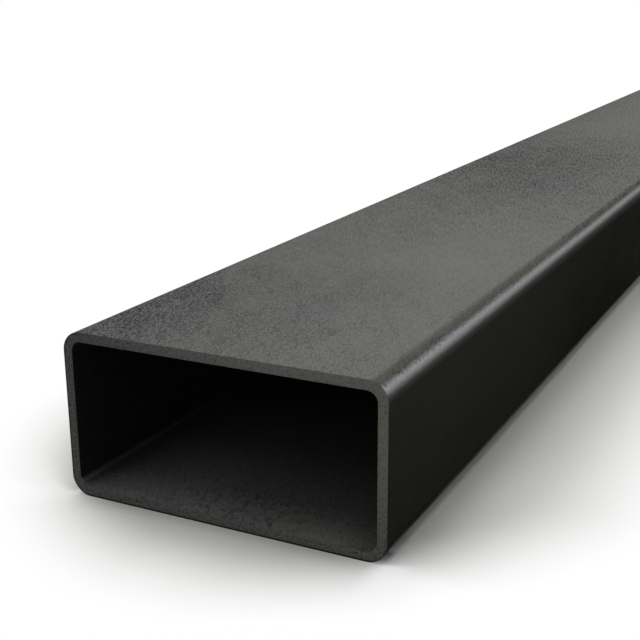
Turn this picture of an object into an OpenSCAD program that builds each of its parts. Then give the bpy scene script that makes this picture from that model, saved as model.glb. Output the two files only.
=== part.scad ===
// Rectangular steel tube: one strip, cold formed round four bends into a hollow section and sawn to length.
// It lies on a wide face. X runs across the section, Y along the length and Z up from the floor,
// and the origin is on the floor, under the middle of the tube.

/* [Section] */
// Overall width, outside to outside
section_width = 100; // [40:1:300]
// Overall height, outside to outside
section_height = 50; // [20:1:200]
// Thickness of the wall, the same on the flats and in the bends
wall = 3; // [1:0.5:10]
// Radius on the inside of each bend
bend_radius = 3; // [0.5:0.5:15]

/* [Cut] */
// Length between the two sawn ends
tube_length = 1000; // [100:10:12000]
// Width and depth of the edge break that deburring leaves on a sawn end
edge_break = 0.1; // [0.05:0.05:0.4]

/* [Hidden] */

// Each corner turns about one centre, so the wall keeps its thickness round the bend
corner_radius = bend_radius + wall;
flat_width = section_width - 2 * corner_radius;
flat_height = section_height - 2 * corner_radius;

// Quarters of the section that hold the four bends, counted anticlockwise from the top right
corner_signs = [[1, 1], [-1, 1], [-1, -1], [1, -1]];
bend_angle = 90;
steel_colour = [0.33, 0.33, 0.32];
$fn = 96;

// Long section through the wall: X is the distance from a bend's centre, Y runs from one sawn end to the other
module wall_profile() {
    sawn_end = [
        [bend_radius, tube_length / 2 - edge_break],
        [bend_radius + edge_break, tube_length / 2],
        [corner_radius - edge_break, tube_length / 2],
        [corner_radius, tube_length / 2 - edge_break]
    ];
    other_end = [for (i = [len(sawn_end) - 1 : -1 : 0]) [sawn_end[i].x, -sawn_end[i].y]];
    polygon(concat(sawn_end, other_end));
}

// One corner of the section, turned about the bend's own centre
module bend() {
    rotate_extrude(angle = bend_angle) wall_profile();
}

// The flat wall that runs on from the end of a bend
module flat_wall(flat) {
    translate([-flat, 0, 0])
        rotate([90, 0, 90])
            linear_extrude(flat) wall_profile();
}

// The whole section, stood on end about its own centre
module section_ring() {
    for (quarter = [0 : len(corner_signs) - 1]) {
        corner = corner_signs[quarter];
        centre = [corner.x * flat_width / 2, corner.y * flat_height / 2];
        translate(centre) rotate(quarter * bend_angle) {
            bend();
            flat_wall(quarter % 2 == 0 ? flat_width : flat_height);
        }
    }
}

// The tube, laid down on its wide face
module tube() {
    color(steel_colour)
        translate([0, 0, section_height / 2])
            rotate([90, 0, 0]) section_ring();
}

tube();
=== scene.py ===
"""Dresses the rectangular steel tube and sets it on a pale studio floor.

The tube keeps the size and place of its solid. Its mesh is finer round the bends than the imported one, and
three finishes cover it: mill scale on the outside, plainer scale in the bore and bare metal on the sawn ends.
"""

import logging
import math
from dataclasses import dataclass
from enum import IntEnum
from typing import Any, Mapping, Sequence, Union

import bmesh
import bpy
from mathutils import Matrix, Vector


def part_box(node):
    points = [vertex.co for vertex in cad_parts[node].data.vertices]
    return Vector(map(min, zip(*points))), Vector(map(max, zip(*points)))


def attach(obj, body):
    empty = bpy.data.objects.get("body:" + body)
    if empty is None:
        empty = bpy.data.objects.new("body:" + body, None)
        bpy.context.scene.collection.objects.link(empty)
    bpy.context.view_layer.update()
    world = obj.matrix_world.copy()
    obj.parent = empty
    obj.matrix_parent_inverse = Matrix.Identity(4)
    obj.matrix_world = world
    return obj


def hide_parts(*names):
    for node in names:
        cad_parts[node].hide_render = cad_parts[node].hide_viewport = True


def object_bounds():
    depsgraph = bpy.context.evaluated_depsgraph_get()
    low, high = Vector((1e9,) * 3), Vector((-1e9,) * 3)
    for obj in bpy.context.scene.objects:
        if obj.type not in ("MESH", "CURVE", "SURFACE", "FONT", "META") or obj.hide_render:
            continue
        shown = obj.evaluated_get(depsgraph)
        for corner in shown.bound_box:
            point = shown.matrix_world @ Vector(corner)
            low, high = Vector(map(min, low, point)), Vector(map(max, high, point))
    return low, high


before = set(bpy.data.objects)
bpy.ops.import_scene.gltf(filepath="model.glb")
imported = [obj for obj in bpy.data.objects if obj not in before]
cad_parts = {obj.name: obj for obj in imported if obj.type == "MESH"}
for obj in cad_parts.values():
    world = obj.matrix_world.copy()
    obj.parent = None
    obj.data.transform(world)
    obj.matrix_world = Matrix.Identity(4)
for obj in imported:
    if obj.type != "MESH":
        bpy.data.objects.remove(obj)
CAD_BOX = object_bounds()
LOG = logging.getLogger("tube")

Triple = tuple[float, float, float]
Colour = Triple
Operand = Union["Value", float]

MM = 0.001
WHITE = (1.0, 1.0, 1.0, 1.0)
# The middle of a cloudy pattern, how far the marks in the scale slant, and what counts as all of a whole.
CLOUD_MIDDLE = 0.5
MARK_SLANT = math.radians(27)
MOTTLE_SLANT = math.radians(18)
NEARLY_ALL = 0.99


class Value:
    """A number that varies over a surface, held as the output of a shader node.

    Arithmetic on it adds Math nodes, so a pattern reads as an ordinary expression.
    """

    def __init__(self, paint: "Paint", socket: bpy.types.NodeSocket) -> None:
        """Holds an output socket and the paint it belongs to."""
        self.paint = paint
        self.socket = socket

    def maths(self, operation: str, *operands: Operand) -> "Value":
        """Adds one Math node.

        Args:
            operation: the Math node's operation.
            operands: what goes into its sockets, in order.

        Returns:
            The node's result.
        """
        node = self.paint.node("ShaderNodeMath", {"operation": operation}, dict(enumerate(operands)))
        return Value(self.paint, node.outputs[0])

    def __add__(self, other: Operand) -> "Value":
        """This plus other."""
        return self.maths("ADD", self, other)

    def __radd__(self, other: Operand) -> "Value":
        """Other plus this."""
        return self.maths("ADD", other, self)

    def __sub__(self, other: Operand) -> "Value":
        """This less other."""
        return self.maths("SUBTRACT", self, other)

    def __rsub__(self, other: Operand) -> "Value":
        """Other less this."""
        return self.maths("SUBTRACT", other, self)

    def __mul__(self, other: Operand) -> "Value":
        """This times other."""
        return self.maths("MULTIPLY", self, other)

    def __rmul__(self, other: Operand) -> "Value":
        """Other times this."""
        return self.maths("MULTIPLY", other, self)

    def __truediv__(self, other: Operand) -> "Value":
        """This divided by other."""
        return self.maths("DIVIDE", self, other)

    def __rtruediv__(self, other: Operand) -> "Value":
        """Other divided by this."""
        return self.maths("DIVIDE", other, self)

    def __pow__(self, other: Operand) -> "Value":
        """This to the power of other."""
        return self.maths("POWER", self, other)

    def __rpow__(self, other: Operand) -> "Value":
        """Other to the power of this."""
        return self.maths("POWER", other, self)

    def __abs__(self) -> "Value":
        """This without its sign."""
        return self.maths("ABSOLUTE", self)

    def at_least(self, other: Operand) -> "Value":
        """The larger of this and other."""
        return self.maths("MAXIMUM", self, other)

    def rise(self, low: float, high: float) -> "Value":
        """A smooth step.

        Args:
            low: where the step is 0.
            high: where it is 1; if that is below low, the step falls instead.

        Returns:
            A value from 0 to 1.
        """
        start, end, first, last = (low, high, 0.0, 1.0) if low < high else (high, low, 1.0, 0.0)
        inputs = {"Value": self, "From Min": start, "From Max": end, "To Min": first, "To Max": last}
        node = self.paint.node("ShaderNodeMapRange", {"interpolation_type": "SMOOTHSTEP"}, inputs)
        return Value(self.paint, node.outputs[0])

    def sway(self, amount: Operand) -> "Value":
        """A cloudy pattern moved to lie about 0, and times an amount."""
        return (self - CLOUD_MIDDLE) * amount

    def crack(self, width: float) -> "Value":
        """1 along the winding lines where a cloudy pattern crosses its middle, and 0 away from them."""
        return abs(self - CLOUD_MIDDLE).rise(width, 0.0)


class Paint:
    """Builds the shader nodes of one material or world."""

    def __init__(self, tree: bpy.types.NodeTree) -> None:
        """Starts from an empty tree."""
        self.tree = tree
        self.tree.nodes.clear()

    def node(
        self,
        kind: str,
        settings: Mapping[str, Any] | None = None,
        inputs: Mapping[Union[str, int], Any] | None = None,
    ) -> bpy.types.Node:
        """Adds a node.

        Args:
            kind: the node's type.
            settings: its properties, which are set first.
            inputs: a value, a colour or a link for each socket, by name or index.

        Returns:
            The new node.
        """
        made = self.tree.nodes.new(kind)
        for name, setting in (settings or {}).items():
            setattr(made, name, setting)
        for key, given in (inputs or {}).items():
            socket = made.inputs[key]
            source = given.socket if isinstance(given, Value) else given
            if isinstance(source, bpy.types.NodeSocket):
                self.tree.links.new(source, socket)
            else:
                socket.default_value = source
        return made

    def axes(self) -> tuple[Value, Value, Value]:
        """Where a point lies on the object.

        Returns:
            Its X, Y and Z, in metres.
        """
        point = self.node("ShaderNodeTexCoord").outputs["Object"]
        parts = self.node("ShaderNodeSeparateXYZ", inputs={0: point}).outputs
        return Value(self, parts[0]), Value(self, parts[1]), Value(self, parts[2])

    def noise(
        self,
        size: float,
        detail: float = 2.0,
        rough: float = 0.5,
        longer: float = 1.0,
        wider: float = 1.0,
        start: float = 0.0,
        slant: float = 0.0,
    ) -> Value:
        """A cloudy pattern about its middle.

        Args:
            size: the width of its largest features, in metres.
            detail: how many finer layers it has.
            rough: how strong each finer layer is.
            longer: how many times longer its features are along the tube.
            wider: how many times wider they are across it.
            start: where in the endless pattern the piece lies, in metres.
            slant: how far the features are turned about Z, in radians.

        Returns:
            The pattern, from about 0.2 to 0.8.
        """
        point = self.node("ShaderNodeTexCoord").outputs["Object"]
        spot = {"Vector": point, "Location": (-start, -start, -start), "Rotation": (0.0, 0.0, slant)}
        spot["Scale"] = (wider, longer, 1.0)
        place = self.node("ShaderNodeMapping", {"vector_type": "TEXTURE"}, spot).outputs[0]
        inputs = {"Vector": place, "Scale": 1.0 / size, "Detail": detail, "Roughness": rough}
        return Value(self, self.node("ShaderNodeTexNoise", inputs=inputs).outputs[0])

    def mix(self, factor: Operand, first: Any, second: Any) -> bpy.types.NodeSocket:
        """Blends two colours.

        Args:
            factor: 0 for the first and 1 for the second.
            first: a colour or the socket of one.
            second: a colour or the socket of one.

        Returns:
            The socket that holds the blend.
        """
        first = first if isinstance(first, bpy.types.NodeSocket) else (*first, 1.0)
        second = second if isinstance(second, bpy.types.NodeSocket) else (*second, 1.0)
        node = self.node("ShaderNodeMix", {"data_type": "RGBA"}, {0: factor, 6: first, 7: second})
        return node.outputs[2]

    def blend(
        self, factor: Value, first: bpy.types.NodeSocket, second: bpy.types.NodeSocket
    ) -> bpy.types.NodeSocket:
        """Blends two shaders.

        Args:
            factor: 0 for the first and 1 for the second.
            first: the socket of a shader.
            second: the socket of another.

        Returns:
            The socket that holds the blend.
        """
        return self.node("ShaderNodeMixShader", inputs={0: factor, 1: first, 2: second}).outputs[0]

    def bump(self, height: Value, depth: float) -> bpy.types.NodeSocket:
        """Relief from a height pattern.

        Args:
            height: the pattern, from 0 to 1.
            depth: how deep the relief is, in metres.

        Returns:
            The socket that holds the surface's normal.
        """
        node = self.node("ShaderNodeBump", inputs={"Strength": 1.0, "Distance": depth, "Height": height})
        return node.outputs["Normal"]

    def shown(self) -> Value:
        """Tells light that is looked at from light that bounces.

        Returns:
            1 where the camera, a reflection or clear glass looks, and 0 for light that bounces.
        """
        path = self.node("ShaderNodeLightPath").outputs
        seen = Value(self, path["Is Camera Ray"]).at_least(Value(self, path["Is Glossy Ray"]))
        return seen.at_least(Value(self, path["Is Transmission Ray"]))

    def surface(self, inputs: Mapping[str, Any]) -> None:
        """Ends a material in one shader.

        Args:
            inputs: the shader's sockets by name.
        """
        shader = self.node("ShaderNodeBsdfPrincipled", inputs=inputs)
        self.node("ShaderNodeOutputMaterial", inputs={"Surface": shader.outputs[0]})


def new_paint(name: str) -> tuple[bpy.types.Material, Paint]:
    """Starts a material.

    Args:
        name: the material's name.

    Returns:
        The material and the paint that builds its nodes.
    """
    material = bpy.data.materials.new(name)
    material.use_nodes = True
    return material, Paint(material.node_tree)


@dataclass(frozen=True)
class Outline:
    """The tube's outline, for the finishes that follow its bends and ends."""

    half_width: float
    half_height: float
    half_length: float
    middle_height: float
    corner_radius: float
    halves_blend: float = 5 * MM

    def past_flats(self, paint: Paint) -> tuple[Value, Value]:
        """How far a point lies past the end of the flats.

        Args:
            paint: the paint of the finish.

        Returns:
            The distance across, and the one upwards or downwards, in metres.
        """
        x, _, z = paint.axes()
        out = (abs(x) - (self.half_width - self.corner_radius)).at_least(0.0)
        up = (abs(z - self.middle_height) - (self.half_height - self.corner_radius)).at_least(0.0)
        return out, up

    def turn(self, paint: Paint) -> Value:
        """How far the strip has turned in its bend, in degrees: 0 on a wide face and 90 on a narrow one."""
        out, up = self.past_flats(paint)
        return out.maths("ARCTAN2", out, up) * math.degrees(1.0)

    def inset(self, paint: Paint) -> Value:
        """How far a point of an end lies inside the outline, up to the radius of the corners, in metres."""
        out, up = self.past_flats(paint)
        return self.corner_radius - (out * out + up * up) ** 0.5

    def upper(self, paint: Paint) -> Value:
        """1 on the upper half of the tube and 0 on the lower half."""
        _, _, z = paint.axes()
        return z.rise(self.middle_height - self.halves_blend, self.middle_height + self.halves_blend)

    def along(self, paint: Paint) -> Value:
        """How far a point lies from the near end, in metres."""
        _, y, _ = paint.axes()
        return y + self.half_length

    def inside(self, paint: Paint) -> Value:
        """How far a point lies from the nearer of the two ends, in metres."""
        _, y, _ = paint.axes()
        return self.half_length - abs(y)


@dataclass(frozen=True)
class Patch:
    """A place where the scale lies thicker and darker, or paler if its depth is below 0.

    It is given by where its middle lies, across from the middle of the tube and along from its near end, and
    by how far it reaches from there.
    """

    across: float
    along: float
    half_width: float
    half_length: float
    depth: float
    fray: float = 0.5

    def over(self, x: Value, along: Value, ragged: Value) -> Value:
        """How much the patch darkens each point.

        Args:
            x: the point's place across the tube.
            along: its distance from the near end.
            ragged: a cloudy pattern that frays the patch's edge.

        Returns:
            The patch's depth in its middle, falling to 0 outside it.
        """
        side = (x - self.across) / self.half_width
        ahead = (along - self.along) / self.half_length
        return ((side * side + ahead * ahead) ** 0.5 + ragged.sway(self.fray)).rise(1.1, 0.1) * self.depth


@dataclass(frozen=True)
class MillScale:
    """The dull grey oxide skin of rolled strip: mottled and finely crazed, with a painted highlight and a
    painted reflection in the bends.
    """

    outline: Outline
    patches: tuple[Patch, ...]
    cool_dark: Colour = (0.040, 0.042, 0.042)
    cool_pale: Colour = (0.226, 0.230, 0.226)
    warm_dark: Colour = (0.043, 0.042, 0.036)
    warm_pale: Colour = (0.231, 0.230, 0.209)
    brown_dark: Colour = (0.060, 0.055, 0.046)
    brown_pale: Colour = (0.172, 0.165, 0.146)
    # Colour of the painted highlight, laid in as metal on the upper crests.
    painted_highlight: Colour = (0.29, 0.29, 0.308)
    # Colour of the painted reflection, laid in as metal on the lower bends.
    painted_reflection: Colour = (0.62, 0.62, 0.62)
    edge_tint: Colour = (0.6, 0.6, 0.6)
    relief: float = 0.03 * MM

    def material(self) -> bpy.types.Material:
        """Builds the finish.

        Returns:
            The material.
        """
        material, paint = new_paint("mill_scale")
        x, _, z = paint.axes()
        turn, upper = self.outline.turn(paint), self.outline.upper(paint)
        along, inside = self.outline.along(paint), self.outline.inside(paint)
        narrow = turn.rise(54.0, 78.0)
        far = along.rise(0.0, 400 * MM)
        # The patterns in the scale, from the widest to the finest.
        clouds = paint.noise(95 * MM, detail=3.0, longer=1.7)
        blotches = paint.noise(14 * MM, detail=3.0, rough=0.55, longer=2.2, start=3.0, slant=MARK_SLANT)
        gathered = paint.noise(5 * MM, rough=0.6, longer=2.4, start=2.0, slant=MARK_SLANT)
        rolling = paint.noise(2.5 * MM, detail=1.0, longer=50.0, start=5.0)
        crazed = paint.noise(1.1 * MM, detail=1.5, rough=0.6, longer=2.6, start=1.0, slant=MARK_SLANT)
        mottle = paint.noise(0.9 * MM, detail=1.0, rough=0.6, longer=7.0, start=4.0, slant=MOTTLE_SLANT)
        grit = paint.noise(0.55 * MM, detail=1.0, rough=0.6, longer=2.5, slant=MARK_SLANT)
        # How pale and how warm the scale is.
        hidden = sum(patch.over(x, along, blotches) for patch in self.patches)
        pits = crazed.crack(0.09) * (gathered * 0.6 + 0.1 + hidden * 2.0).rise(0.28, 0.76)
        grain = grit.sway(0.75 + hidden * 1.2) + mottle.sway(0.2 + far + hidden * 0.8)
        tone = 0.675 + x * (0.05 / self.outline.half_width) + clouds.sway(0.3) + blotches.sway(0.2)
        tone = tone + rolling.sway(0.06) + grain * (1.0 - narrow * 0.6) - pits * (0.39 - narrow * 0.2)
        # Painted shade on the narrow faces: lighter towards the top and darker further along the tube.
        above = (z - self.outline.middle_height) * (0.18 / self.outline.half_height)
        tone = tone - hidden + narrow * (above + 0.02 - along.rise(40 * MM, 220 * MM) * 0.26)
        warmth = paint.noise(60 * MM, start=7.0).rise(0.3, 0.8) * 0.5 + 0.35 + narrow - hidden * 4.0
        cool = paint.mix(tone, self.cool_dark, self.cool_pale)
        warm = paint.mix(tone, self.warm_dark, self.warm_pale)
        # The bends: browned where they start, with a painted highlight on the upper crests and a painted
        # reflection on the lower ones, both laid in as metal bands.
        lean = turn.rise(0.0, 12.0) * (far * 10.0 + grit.sway(math.degrees(0.25)))
        browned = (turn + lean).rise(0.0, 22.0) * turn.rise(60.0, 40.0)
        highlight_band = (turn + lean * 0.8).rise(32.0, 51.0) * (turn + lean * 1.35).rise(75.0, 52.0)
        spread = turn.rise(90.0, 80.0) * along.rise(5 * MM, 50 * MM) * 4.0
        skirt = (turn - lean - spread).rise(84.0, 49.0) * turn.rise(20.0, 40.0)
        # Painted highlight: a metal band on the upper crests that lies lower on the bend further along the
        # tube and is fainter at the very ends.
        painted_highlight = highlight_band * upper * (0.9 + grit.sway(0.6) - pits * 0.3)
        painted_highlight = painted_highlight * (0.3 + inside.rise(0.0, 0.6 * MM) * 0.7)
        # Painted reflection: a metal band on the lower bends, stronger further along the tube.
        reflection_growth = 0.6 - along.rise(8 * MM, 25 * MM) * 0.1 + along.rise(60 * MM, 240 * MM) * 0.34
        painted_reflection = skirt * (1.0 - upper) * reflection_growth * inside.rise(0.3 * MM, 2.3 * MM)
        brown = paint.mix(0.52 + grain * 1.6 - pits * 0.4, self.brown_dark, self.brown_pale)
        colour = paint.mix(browned * (0.5 + blotches * 0.6 + far * 0.3), paint.mix(warmth, cool, warm), brown)
        colour = paint.mix(painted_highlight, colour, self.painted_highlight)
        paint.surface({
            "Base Color": paint.mix(painted_reflection, colour, self.painted_reflection),
            "Metallic": painted_highlight + painted_reflection,
            "Roughness": 0.5 + pits * 0.3 + blotches.sway(0.3) - (highlight_band + skirt) * 0.15,
            "Specular IOR Level": 0.0,
            "Specular Tint": (*self.edge_tint, 1.0),
            "Normal": paint.bump(grit * 0.5 - pits * 0.5 + 0.5, self.relief),
        })
        return material


@dataclass(frozen=True)
class BoreScale:
    """The plain scale inside the tube: flecked, scuffed at the mouth and with painted light along the lower
    bends.

    It has painted shade that makes it darker inside than at the mouth, where it is a little oily on the
    right.
    """

    outline: Outline
    dark: Colour = (0.062, 0.062, 0.061)
    pale: Colour = (0.222, 0.222, 0.217)
    oily: Colour = (0.224, 0.226, 0.186)
    # Colour of the painted light along the lower bends.
    bend_light: Colour = (0.33, 0.33, 0.33)
    relief: float = 0.05 * MM

    def material(self) -> bpy.types.Material:
        """Builds the finish.

        Returns:
            The material.
        """
        material, paint = new_paint("bore_scale")
        x, _, _ = paint.axes()
        turn, upper = self.outline.turn(paint), self.outline.upper(paint)
        inside = self.outline.inside(paint)
        clouds = paint.noise(40 * MM, detail=3.0)
        scuffs = paint.noise(1.5 * MM, detail=3.0, rough=0.65, longer=2.2, start=2.0, slant=MARK_SLANT)
        scuffs = scuffs.rise(0.5, 0.62) * inside.rise(40 * MM, 0.0)
        scuffs = scuffs * x.rise(-40 * MM, -8 * MM) * x.rise(34 * MM, 14 * MM)
        flecks = paint.noise(0.8 * MM, rough=0.6, longer=2.6, slant=MARK_SLANT).rise(0.5, 0.75)
        grit = paint.noise(0.6 * MM, detail=1.5, longer=2.4, start=1.0, slant=MARK_SLANT)
        deep, deeper = inside.rise(8 * MM, 50 * MM), inside.rise(40 * MM, 80 * MM)
        outer, upright = abs(x).rise(15 * MM, 45 * MM), turn.rise(70.0, 90.0)
        left = x.rise(-20 * MM, -42 * MM) * inside.rise(12 * MM, 50 * MM)
        right = x.rise(30 * MM, 47 * MM)
        tone = 0.65 + clouds.sway(0.5) + grit.sway(0.6) - flecks * (0.32 - deep * 0.12) - scuffs * 0.38
        # Painted shade: darker deeper inside and lighter again far in, darker near the sides and on the
        # upright walls; also lighter deep on the left and darker on the right.
        tone = tone - deep * 0.32 + deeper * 0.6 + left * 0.4 - right * 0.36 - outer * 0.16 - upright * 0.14
        # Painted light along the lower bends.
        line = turn.rise(38.0, 58.0) * turn.rise(80.0, 60.0) * (1.0 - upper) * (0.9 - flecks * 0.4)
        handled = x.rise(5 * MM, 30 * MM) * inside.rise(14 * MM, 2 * MM)
        pale = paint.mix(handled, self.pale, self.oily)
        paint.surface({
            "Base Color": paint.mix(line, paint.mix(tone, self.dark, pale), self.bend_light),
            "Roughness": 0.7 + grit.sway(0.4),
            "Specular IOR Level": 0.0,
            "Normal": paint.bump(grit * 0.6 - flecks * 0.4 + 0.4, self.relief),
        })
        return material


@dataclass(frozen=True)
class SawnSteel:
    """The bare grey metal of a sawn end: the saw's fine lines, dark grains, a darker rim, painted light
    towards the upper right and a painted contact shadow along its foot.
    """

    outline: Outline
    dark: Colour = (0.09, 0.09, 0.083)
    pale: Colour = (0.44, 0.44, 0.41)
    oily: Colour = (0.455, 0.463, 0.405)
    # Colour of the painted contact shadow along the foot.
    contact_shade: Colour = (0.03, 0.03, 0.028)
    relief: float = 0.03 * MM

    def material(self) -> bpy.types.Material:
        """Builds the finish.

        Returns:
            The material.
        """
        material, paint = new_paint("sawn_steel")
        x, _, z = paint.axes()
        half, height = self.outline.half_width, 2 * self.outline.half_height
        lines = paint.noise(0.5 * MM, rough=0.7, wider=33.0)
        grains = paint.noise(0.8 * MM, detail=1.5, rough=0.6, start=1.0)
        # Painted light: the end is lighter towards the upper right.
        painted_light = x.rise(-1.4 * half, 0.8 * half) * z.rise(-0.3 * height, 0.76 * height)
        # Darker within 0.8 mm of the outline on the lower right and along the left.
        dark_rim = x.rise(0.8 * half, 0.94 * half) * z.rise(0.3 * height, 0.1 * height) * 0.3
        dark_rim = dark_rim + x.rise(-0.8 * half, -0.94 * half) * 0.45
        tone = 0.33 + painted_light * 0.57 + lines.sway(0.2) + grains.sway(1.2) - grains.rise(0.40, 0.28) * 0.3
        tone = tone - dark_rim * self.outline.inset(paint).rise(0.8 * MM, 0.2 * MM)
        handled = x.rise(0.6 * half, 0.95 * half) * z.rise(0.96 * height, 0.8 * height)
        pale = paint.mix(handled, self.pale, self.oily)
        # Painted contact shadow along the foot of the end.
        foot = z.rise(0.3 * MM, 0.8 * MM)
        paint.surface({
            "Base Color": paint.mix(foot, self.contact_shade, paint.mix(tone, self.dark, pale)),
            "Roughness": 0.5 + lines.sway(0.3),
            "Specular IOR Level": 0.05,
            "Normal": paint.bump(lines * 0.7 + grains * 0.3, self.relief),
        })
        return material


class Skin(IntEnum):
    """Where each finish goes on the tube, by the index of its material."""

    OUTSIDE = 0
    BORE = 1
    ENDS = 2


@dataclass
class Tube:
    """The formed hollow section, laid on a wide face along Y."""

    low: Vector
    high: Vector
    wall: float = 3 * MM
    bend_radius: float = 3 * MM
    edge_break: float = 0.1 * MM
    bend_steps: int = 16
    break_steps: int = 1
    sharp_angle: float = math.radians(60)
    bore_share: float = 0.8
    flat_weight: int = 100
    patches: tuple[Patch, ...] = (
        Patch(across=-49 * MM, along=20 * MM, half_width=35 * MM, half_length=90 * MM, depth=0.19),
        Patch(across=-5 * MM, along=15 * MM, half_width=62 * MM, half_length=95 * MM, depth=0.07),
        Patch(across=0 * MM, along=320 * MM, half_width=60 * MM, half_length=125 * MM, depth=0.10),
        Patch(across=32 * MM, along=135 * MM, half_width=48 * MM, half_length=62 * MM, depth=-0.06),
        Patch(across=-52 * MM, along=355 * MM, half_width=36 * MM, half_length=125 * MM, depth=0.075),
        Patch(across=15 * MM, along=540 * MM, half_width=75 * MM, half_length=130 * MM, depth=-0.08),
        Patch(across=20 * MM, along=740 * MM, half_width=40 * MM, half_length=80 * MM, depth=0.07),
    )

    def build(self) -> bpy.types.Object:
        """Models the tube in the place of its solid.

        Returns:
            The tube's object, with a material index on every face.
        """
        shape = bmesh.new()
        self.form_bar(shape)
        self.open_bore(shape)
        self.break_edges(shape)
        self.sort_faces(shape)
        bmesh.ops.recalc_face_normals(shape, faces=shape.faces)
        mesh = bpy.data.meshes.new("formed_tube")
        shape.to_mesh(mesh)
        shape.free()
        mesh.shade_smooth()
        tube = bpy.data.objects.new("formed_tube", mesh)
        bpy.context.scene.collection.objects.link(tube)
        normals = tube.modifiers.new("flat_faces", "WEIGHTED_NORMAL")
        normals.mode = "FACE_AREA"
        normals.weight = self.flat_weight
        return tube

    def form_bar(self, shape: bmesh.types.BMesh) -> None:
        """Makes a solid bar of the tube's outside size and rounds its long edges.

        Args:
            shape: the mesh to fill.
        """
        bmesh.ops.create_cube(shape, size=1.0)
        bmesh.ops.scale(shape, vec=self.high - self.low, verts=shape.verts)
        bmesh.ops.translate(shape, vec=(self.low + self.high) / 2, verts=shape.verts)
        length = self.high.y - self.low.y
        long_edges = [edge for edge in shape.edges if edge.calc_length() > NEARLY_ALL * length]
        self.round_off(shape, long_edges, self.bend_radius + self.wall, self.bend_steps)

    def open_bore(self, shape: bmesh.types.BMesh) -> None:
        """Insets both ends by the wall and joins the two inner outlines into a bore.

        Args:
            shape: the solid bar.
        """
        shape.normal_update()
        ends = [face for face in shape.faces if abs(face.normal.y) > NEARLY_ALL]
        bmesh.ops.inset_individual(shape, faces=ends, thickness=self.wall, use_even_offset=True)
        outlines = [edge for face in ends for edge in face.edges]
        bmesh.ops.delete(shape, geom=ends, context="FACES_ONLY")
        bmesh.ops.bridge_loops(shape, edges=outlines)

    def break_edges(self, shape: bmesh.types.BMesh) -> None:
        """Takes the sharp edges off both sawn ends.

        Args:
            shape: the hollow bar.
        """
        shape.normal_update()
        sharp = [edge for edge in shape.edges if edge.calc_face_angle(0.0) > self.sharp_angle]
        self.round_off(shape, sharp, self.edge_break, self.break_steps)

    def round_off(
        self, shape: bmesh.types.BMesh, edges: list[bmesh.types.BMEdge], size: float, steps: int
    ) -> None:
        """Rounds some edges.

        Args:
            shape: the mesh that they belong to.
            edges: the edges.
            size: how far the round reaches on either side.
            steps: how many faces the round has.
        """
        bmesh.ops.bevel(
            shape,
            geom=edges,
            offset=size,
            offset_type="OFFSET",
            affect="EDGES",
            segments=steps,
            profile=0.5,
            material=-1,
        )

    def sort_faces(self, shape: bmesh.types.BMesh) -> None:
        """Gives each face the index of its finish.

        Args:
            shape: the finished tube.
        """
        shape.normal_update()
        middle = (self.low + self.high) / 2
        reach = (self.high - self.low) / 2
        for face in shape.faces:
            spot = face.calc_center_median() - middle
            depth = min(reach.x - abs(spot.x), reach.z - abs(spot.z))
            if abs(face.normal.y) > NEARLY_ALL:
                face.material_index = Skin.ENDS
            elif depth > self.bore_share * self.wall:
                face.material_index = Skin.BORE
            else:
                face.material_index = Skin.OUTSIDE

    def dress(self, tube: bpy.types.Object) -> None:
        """Puts the finishes on the tube.

        Args:
            tube: the modelled tube.
        """
        reach = (self.high - self.low) / 2
        outline = Outline(
            half_width=reach.x,
            half_height=reach.z,
            half_length=reach.y,
            middle_height=self.low.z + reach.z,
            corner_radius=self.bend_radius + self.wall,
        )
        finishes = {
            Skin.OUTSIDE: MillScale(outline, self.patches),
            Skin.BORE: BoreScale(outline),
            Skin.ENDS: SawnSteel(outline),
        }
        for skin in sorted(finishes):
            tube.data.materials.append(finishes[skin].material())


@dataclass(frozen=True)
class Softbox:
    """A soft rectangular lamp that faces the tube.

    Its angles are in degrees: azimuth 0 is behind the tube and 90 to its right.
    """

    name: str
    azimuth: float
    elevation: float
    distance: float
    width: float
    height: float
    watts: float

    def place(self, target: Vector) -> None:
        """Adds the lamp.

        Args:
            target: the point that the lamp faces.
        """
        lamp = bpy.data.lights.new(self.name, "AREA")
        lamp.shape = "RECTANGLE"
        lamp.size = self.width
        lamp.size_y = self.height
        lamp.energy = self.watts
        turn, rise = math.radians(self.azimuth), math.radians(self.elevation)
        level = math.cos(rise)
        towards = Vector((math.sin(turn) * level, math.cos(turn) * level, math.sin(rise)))
        box = bpy.data.objects.new(self.name, lamp)
        box.location = target + towards * self.distance
        box.rotation_mode = "QUATERNION"
        box.rotation_quaternion = towards.to_track_quat("Z", "Y")
        bpy.context.scene.collection.objects.link(box)


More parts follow.
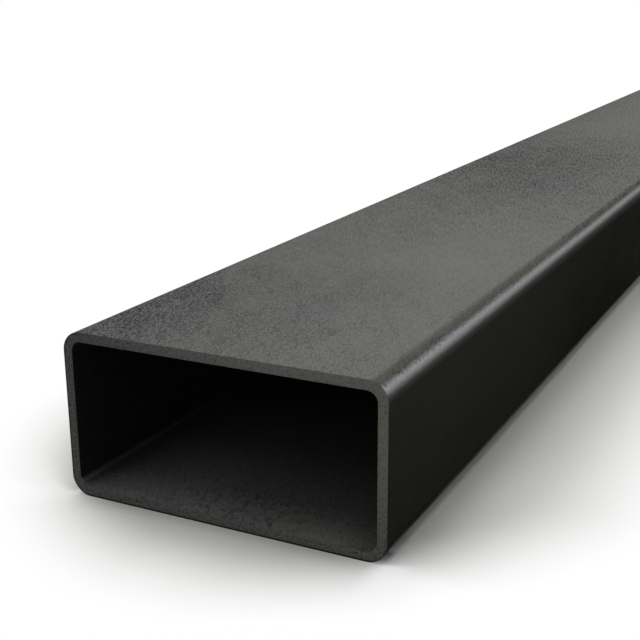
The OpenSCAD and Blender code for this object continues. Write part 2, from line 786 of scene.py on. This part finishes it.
@dataclass(frozen=True)
class PaleFloor:
    """The floor's finish: white to the eye away from the tube, and grey where its shadow lies.

    To light that bounces it is dim, so it hardly lights the tube from below.
    """

    half_width: float
    half_length: float
    colour: Colour = (0.81, 0.81, 0.786)
    dim: Colour = (0.05, 0.05, 0.05)
    shadow_across: float = 62 * MM
    shadow_along: float = 49 * MM
    inset_across: float = 39 * MM
    inset_along: float = 55 * MM
    shadow_core: float = 0.58
    squareness: float = 1.5
    skew: float = 0.016
    lead_slope: float = 0.4
    left_shade: float = 0.55
    right_shade: float = 0.17
    foot_shade: float = 0.88
    end_shade: float = 0.18
    toe_shade: float = 0.12
    gap_shade: float = 0.085
    below_light: float = 0.05
    corner_light: float = 0.14
    fringe_light: float = 0.25
    behind_light: float = 0.05

    def material(self) -> bpy.types.Material:
        """Builds the finish.

        Returns:
            The material.
        """
        material, paint = new_paint("pale_floor")
        lit = paint.node("ShaderNodeBsdfDiffuse", inputs={"Color": (*self.colour, 1.0)}).outputs[0]
        dim = paint.node("ShaderNodeBsdfDiffuse", inputs={"Color": (*self.dim, 1.0)}).outputs[0]
        white = paint.node("ShaderNodeEmission", inputs={"Color": WHITE, "Strength": 1.0}).outputs[0]
        clear = self.apart(paint).rise(self.shadow_core, 1.0) + self.bounce(paint)
        seen = paint.blend(clear, paint.blend(self.contact(paint), lit, dim), white)
        floor = paint.blend(paint.shown(), dim, seen)
        paint.node("ShaderNodeOutputMaterial", inputs={"Surface": floor})
        return material

    def apart(self, paint: Paint) -> Value:
        """How far a point of the floor is from the middle of the tube's shadow.

        Args:
            paint: the floor's paint.

        Returns:
            The distance as a share of the shadow's reach, which is less at the corners.
        """
        x, y, _ = paint.axes()
        beside = (abs(x) - (self.half_width - self.inset_across)).at_least(0.0)
        beyond = (abs(y) + x * self.skew - (self.half_length - self.inset_along)).at_least(0.0)
        across = beside / (self.inset_across + self.shadow_across)
        along = beyond / (self.inset_along + self.shadow_along)
        return (across**self.squareness + along**self.squareness) ** (1.0 / self.squareness)

    def from_tube(self, paint: Paint) -> tuple[Value, Value, Value]:
        """Where a point of the floor lies, seen from the foot of the tube.

        Args:
            paint: the floor's paint.

        Returns:
            How far it is beside the tube and how far ahead of its nearer end, in millimetres and below 0
            under the tube, and 1 on the tube's right or 0 on its left.
        """
        x, y, _ = paint.axes()
        return (abs(x) - self.half_width) / MM, (abs(y) - self.half_length) / MM, x.rise(-1 * MM, 1 * MM)

    def contact(self, paint: Paint) -> Value:
        """How much painted shade darkens the floor against the foot of the tube, at its near end and along
        its sides.

        Args:
            paint: the floor's paint.

        Returns:
            The share of the light that is lost.
        """
        beside, ahead, on_right = self.from_tube(paint)
        out, back = beside.at_least(0.0), (3.0 - ahead).at_least(0.1)
        wedge = (out / back).rise(1.9, 0.0) * out.rise(45.0, 15.0)
        wedge = wedge * beside.rise(-1.0, 1.0) * ahead.rise(1.0, -3.0)
        lead = ahead + beside.at_least(-3.5) * self.lead_slope
        foot = beside.rise(2.5, -4.0) * lead.rise(-1.0, -3.2) * ahead.rise(-13.0, -6.0)
        right = wedge * back.rise(20.0, 9.0) * self.right_shade + foot * self.foot_shade
        toe = beside.rise(-24.0, -10.0) * beside.rise(-3.0, -7.0) * ahead.rise(10.0, 3.0)
        end = ahead.rise(6.0, 0.0) * beside.rise(0.0, -8.0) * self.end_shade + toe * self.toe_shade
        sides = wedge * self.left_shade * (1.0 - on_right) + right * on_right
        return sides + end * ahead.rise(-2.0, 0.0)

    def bounce(self, paint: Paint) -> Value:
        """How much painted light lifts the floor below the lower bends and round the corners of the ends.

        Args:
            paint: the floor's paint.

        Returns:
            The painted light as a share of white, below 0 in the gap under the right corner.
        """
        beside, ahead, on_right = self.from_tube(paint)
        lead = ahead + beside * self.lead_slope
        below = beside.rise(0.6, -1.2) * ahead.rise(-7.0, -22.0)
        corner = beside.rise(-2.0, 8.0) * beside.rise(35.0, 5.0)
        corner = corner * ahead.rise(-6.0, 4.0) * ahead.rise(18.0, 2.0)
        fringe = beside.rise(-5.5, 0.0) * beside.rise(8.5, -1.0)
        fringe = fringe * lead.rise(-2.4, 0.5) * ahead.rise(22.0, -2.0)
        behind = beside.rise(0.0, 15.0) * beside.rise(50.0, 20.0)
        behind = behind * ahead.rise(-12.0, -30.0) * ahead.rise(-100.0, -50.0)
        gap = beside.rise(0.0, -2.0) * beside.rise(-6.0, -4.0)
        gap = gap * lead.rise(-2.4, -3.8) * ahead.rise(-9.0, -6.0)
        right = fringe * self.fringe_light + behind * self.behind_light - gap * self.gap_shade
        return below * self.below_light + corner * self.corner_light + right * on_right


@dataclass(frozen=True)
class Studio:
    """The floor, the lamps and the white surroundings."""

    floor_reach: float = 40.0
    ambient: float = 0.038
    aim: Triple = (0.0, 100 * MM, 30 * MM)
    lamps: tuple[Softbox, ...] = (
        Softbox("overhead", azimuth=-55.0, elevation=74.0, distance=2.5, width=2.8, height=2.8, watts=67.0),
        Softbox("low_fill", azimuth=190.0, elevation=32.0, distance=3.0, width=1.8, height=1.6, watts=3.2),
        Softbox("front_fill", azimuth=202.0, elevation=46.0, distance=3.0, width=1.8, height=1.6, watts=7.1),
    )

    def build(self, near_end: Vector) -> None:
        """Sets up everything round the tube.

        Args:
            near_end: the middle of the tube's near end, on the floor.
        """
        self.lay_floor()
        self.light_world()
        for lamp in self.lamps:
            lamp.place(near_end + Vector(self.aim))

    def lay_floor(self) -> None:
        """Lays a wide level floor below the tube."""
        shape = bmesh.new()
        bmesh.ops.create_grid(shape, x_segments=1, y_segments=1, size=self.floor_reach)
        mesh = bpy.data.meshes.new("floor")
        shape.to_mesh(mesh)
        shape.free()
        floor = bpy.data.objects.new("floor", mesh)
        bpy.context.scene.collection.objects.link(floor)
        _, high = CAD_BOX
        mesh.materials.append(PaleFloor(high.x, high.y).material())

    def light_world(self) -> None:
        """Makes the surroundings white to the eye and faint as a light."""
        world = bpy.data.worlds.new("surroundings")
        world.use_nodes = True
        bpy.context.scene.world = world
        paint = Paint(world.node_tree)
        strength = self.ambient + paint.shown() * (1.0 - self.ambient)
        back = paint.node("ShaderNodeBackground", inputs={"Color": WHITE, "Strength": strength})
        paint.node("ShaderNodeOutputWorld", inputs={"Surface": back.outputs[0]})


@dataclass(frozen=True)
class Viewpoint:
    """The camera, placed from the middle of the tube's near end on the floor."""

    right: float = 0.15333
    back: float = 0.2402
    up: float = 0.14554
    heading_deg: float = -26.941
    dip_deg: float = 16.934
    roll_deg: float = 0.413
    lens_mm: float = 64.302
    film_mm: float = 36.0
    nearest: float = 0.01
    farthest: float = 200.0

    def place(self, near_end: Vector) -> None:
        """Adds the camera.

        Args:
            near_end: the middle of the tube's near end, on the floor.
        """
        data = bpy.data.cameras.new("viewpoint")
        data.lens = self.lens_mm
        data.sensor_width = self.film_mm
        data.clip_start = self.nearest
        data.clip_end = self.farthest
        heading, dip, roll = (math.radians(a) for a in (self.heading_deg, self.dip_deg, self.roll_deg))
        reach = math.cos(dip)
        look = Vector((math.sin(heading) * reach, math.cos(heading) * reach, -math.sin(dip)))
        level = Vector((math.cos(heading), -math.sin(heading), 0.0))
        below = look.cross(level)
        side = math.cos(roll) * level + math.sin(roll) * below
        down = math.cos(roll) * below - math.sin(roll) * level
        turn = Matrix((side, -down, -look)).transposed()
        camera = bpy.data.objects.new("viewpoint", data)
        spot = near_end + Vector((self.right, -self.back, self.up))
        camera.matrix_world = Matrix.Translation(spot) @ turn.to_4x4()
        bpy.context.scene.collection.objects.link(camera)
        bpy.context.scene.camera = camera


def main() -> None:
    """Builds the camera, the tube and the studio, in that order."""
    logging.basicConfig(level=logging.INFO, format="%(message)s")
    low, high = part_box("tube")
    near_end = Vector(((low.x + high.x) / 2, low.y, low.z))
    Viewpoint().place(near_end)
    form = Tube(low, high)
    tube = form.build()
    form.dress(tube)
    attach(tube, "root")
    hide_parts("tube")
    LOG.info("formed tube: %d faces", len(tube.data.polygons))
    Studio().build(near_end)
    bpy.context.scene.view_settings.view_transform = "Standard"


if __name__ == "__main__":
    main()
